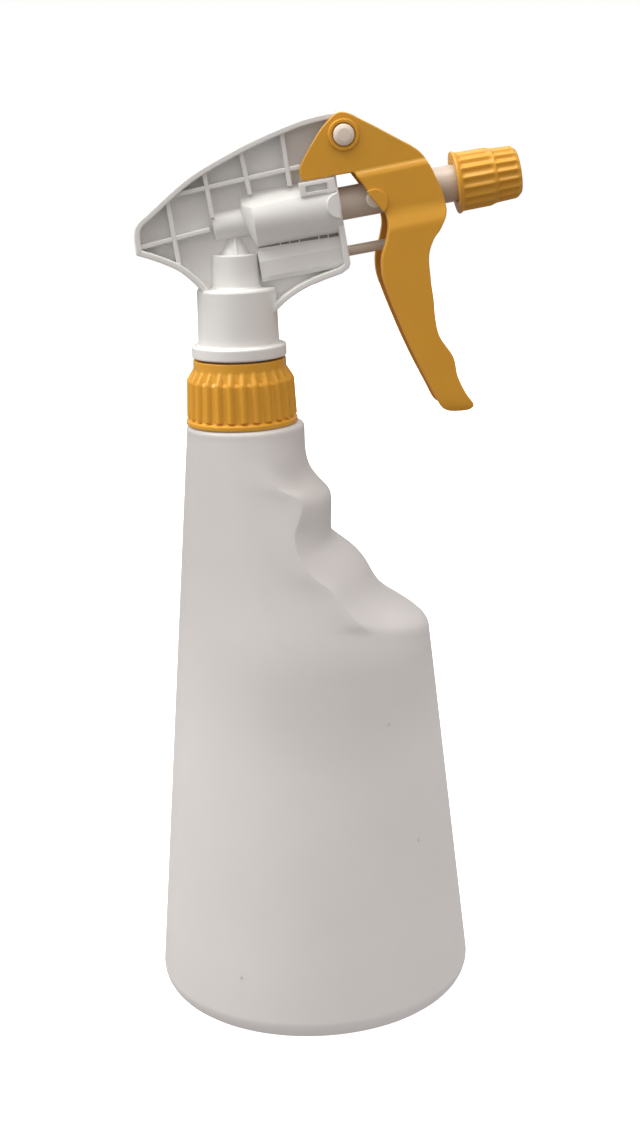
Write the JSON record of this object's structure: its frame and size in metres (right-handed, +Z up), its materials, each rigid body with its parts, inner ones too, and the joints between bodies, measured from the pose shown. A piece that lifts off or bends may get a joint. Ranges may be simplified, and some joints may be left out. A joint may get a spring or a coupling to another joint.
{
  "type": "spray bottle",
  "caption": "Hand spray bottle: tapered translucent bottle with finger grip, screw collar, open-frame trigger pump and adjustable nozzle.",
  "frame": {"origin": "middle of the object's footprint box, on the surface the bottle stands on", "axes": "+Z up, +X towards the nozzle, Y across; the object is symmetric about Y = 0"},
  "size_m": [0.1142, 0.0952, 0.2638],
  "materials": {
    "bottle_plastic": "milky translucent polyethylene, satin",
    "yellow_plastic": "satin moulded, warm yellow",
    "white_plastic": "satin moulded",
    "cream_plastic": "satin moulded, off-white",
    "clear_plastic": "natural extruded tube",
    "seal_rubber": "matt",
    "spring_steel": "drawn stainless"
  },
  "bodies": {
    "bottle": {"bottle": "bottle_plastic"},
    "head": {"pump_body": "white_plastic", "pivot_pin": "cream_plastic", "barrel_bush": "cream_plastic", "vent_bush": "cream_plastic", "tube_holder": "cream_plastic", "neck_gasket": "seal_rubber", "dip_tube": "clear_plastic", "tube_strainer": "cream_plastic", "return_spring": "spring_steel"},
    "collar": {"screw_collar": "yellow_plastic"},
    "intake_ball": {"intake_ball": "spring_steel"},
    "trigger": {"trigger": "yellow_plastic"},
    "plunger": {"plunger_tube": "cream_plastic", "piston_cup": "seal_rubber", "stem_oring": "seal_rubber", "discharge_spring": "spring_steel", "swirl_insert": "cream_plastic"},
    "discharge_ball": {"discharge_ball": "spring_steel"},
    "cap_carrier": {"cap_washer": "seal_rubber"},
    "nozzle_cap": {"nozzle_cap": "yellow_plastic"},
    "vent_rod": {"vent_rod": "cream_plastic", "vent_seal": "seal_rubber"}
  },
  "joints": [
    {"name": "head_lift", "type": "slide", "parent": "bottle", "child": "head", "axis": [0, 0, 1], "range_m": [0, 0.19]},
    {"name": "collar_turn", "type": "hinge", "parent": "head", "child": "collar", "pos_m": [-0.02527, 0, 0.186], "axis": [0, 0, 1], "range_deg": [0, 450]},
    {"name": "intake_ball_lift", "type": "slide", "parent": "head", "child": "intake_ball", "axis": [0, 0, 1], "range_m": [0, 0.0015]},
    {"name": "trigger_pull", "type": "hinge", "parent": "head", "child": "trigger", "pos_m": [0.00603, 0, 0.25758], "axis": [0, 1, 0], "range_deg": [0, 16], "stiffness_Nm_per_rad": 0.5, "springref_deg": -20.05},
    {"name": "plunger_slide", "type": "slide", "parent": "head", "child": "plunger", "axis": [-0.99, 0, -0.1409], "range_m": [0, 0.0056], "deforming": ["return_spring"]},
    {"name": "vent_slide", "type": "slide", "parent": "head", "child": "vent_rod", "axis": [-0.99, 0, -0.1409], "range_m": [0, 0.009]},
    {"name": "discharge_ball_lift", "type": "slide", "parent": "plunger", "child": "discharge_ball", "axis": [0.99, 0, 0.1409], "range_m": [0, 0.0008], "stiffness_N_per_m": 40, "springref_m": -0.002},
    {"name": "nozzle_advance", "type": "slide", "parent": "plunger", "child": "cap_carrier", "axis": [0.99, 0, 0.1409], "range_m": [0, 0.0026]},
    {"name": "nozzle_turn", "type": "hinge", "parent": "cap_carrier", "child": "nozzle_cap", "pos_m": [0.04573, 0, 0.24404], "axis": [0.99, 0, 0.1409], "range_deg": [0, 360]}
  ],
  "couplings": [
    {"joint": "plunger_slide", "follows": "trigger_pull", "m_per_rad": 0.019611},
    {"joint": "vent_slide", "follows": "trigger_pull", "m_per_rad": 0.031773},
    {"joint": "nozzle_advance", "follows": "nozzle_turn", "m_per_rad": 0.00039789}
  ]
}
